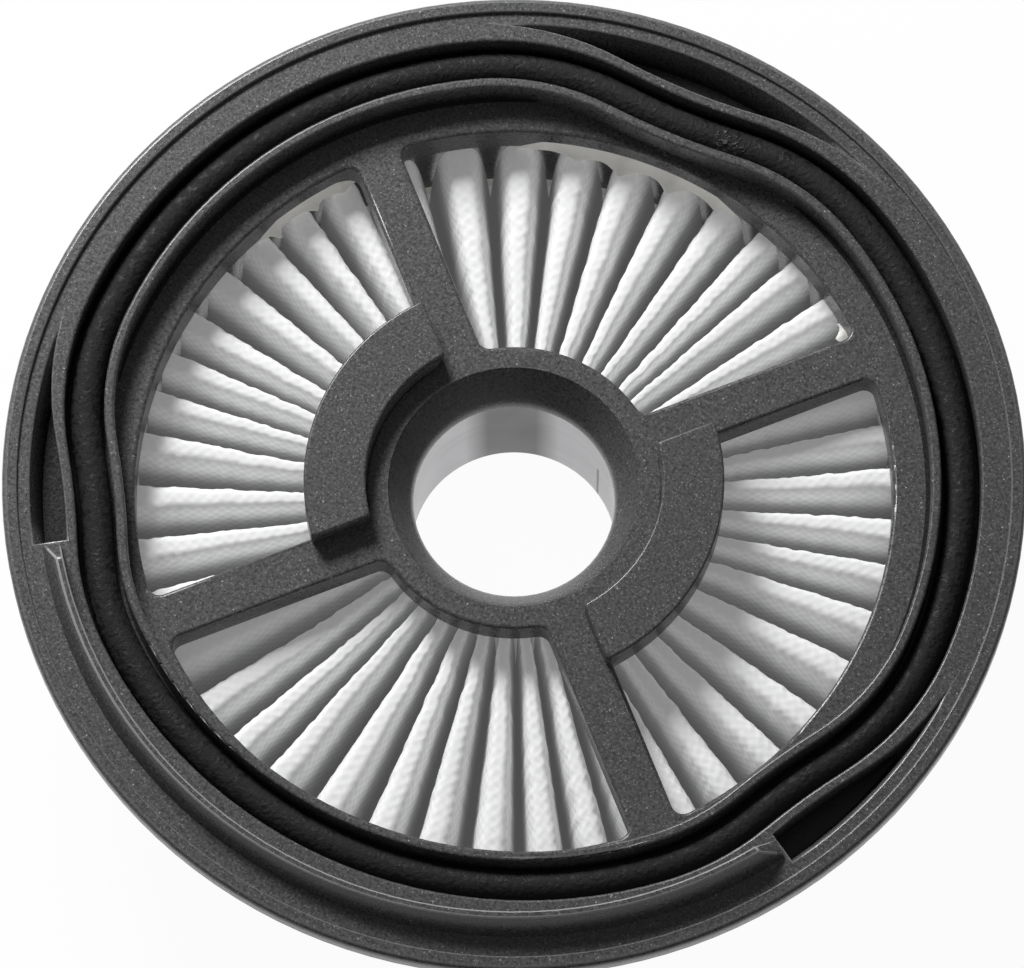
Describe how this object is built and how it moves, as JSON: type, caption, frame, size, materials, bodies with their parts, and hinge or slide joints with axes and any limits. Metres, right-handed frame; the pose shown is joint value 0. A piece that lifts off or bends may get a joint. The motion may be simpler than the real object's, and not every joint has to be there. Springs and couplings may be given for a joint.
{
  "type": "pleated vacuum filter cartridge",
  "caption": "Round flanged air filter cartridge with radial white pleats, a wavy seal cord groove, spokes and an open centre tube.",
  "frame": {"origin": "centre of the lower rim that the filter stands on", "axes": "+Z along the filter axis towards the flange, +Y towards the back hollow, -Y towards the raised rib"},
  "size_m": [0.135, 0.135, 0.0356],
  "materials": {
    "frame_plastic": "moulded dark grey, fine grain",
    "seal_rubber": "matte black cord",
    "filter_sheet": "white felted sheet, embossed",
    "tube_plastic": "satin light grey",
    "adhesive": "white set adhesive"
  },
  "bodies": {
    "root": {"frame": "frame_plastic", "seal_cord": "seal_rubber", "pleat_pack": "filter_sheet", "core_tube": "tube_plastic", "outer_glue": "adhesive", "inner_glue": "adhesive"}
  },
  "joints": []
}
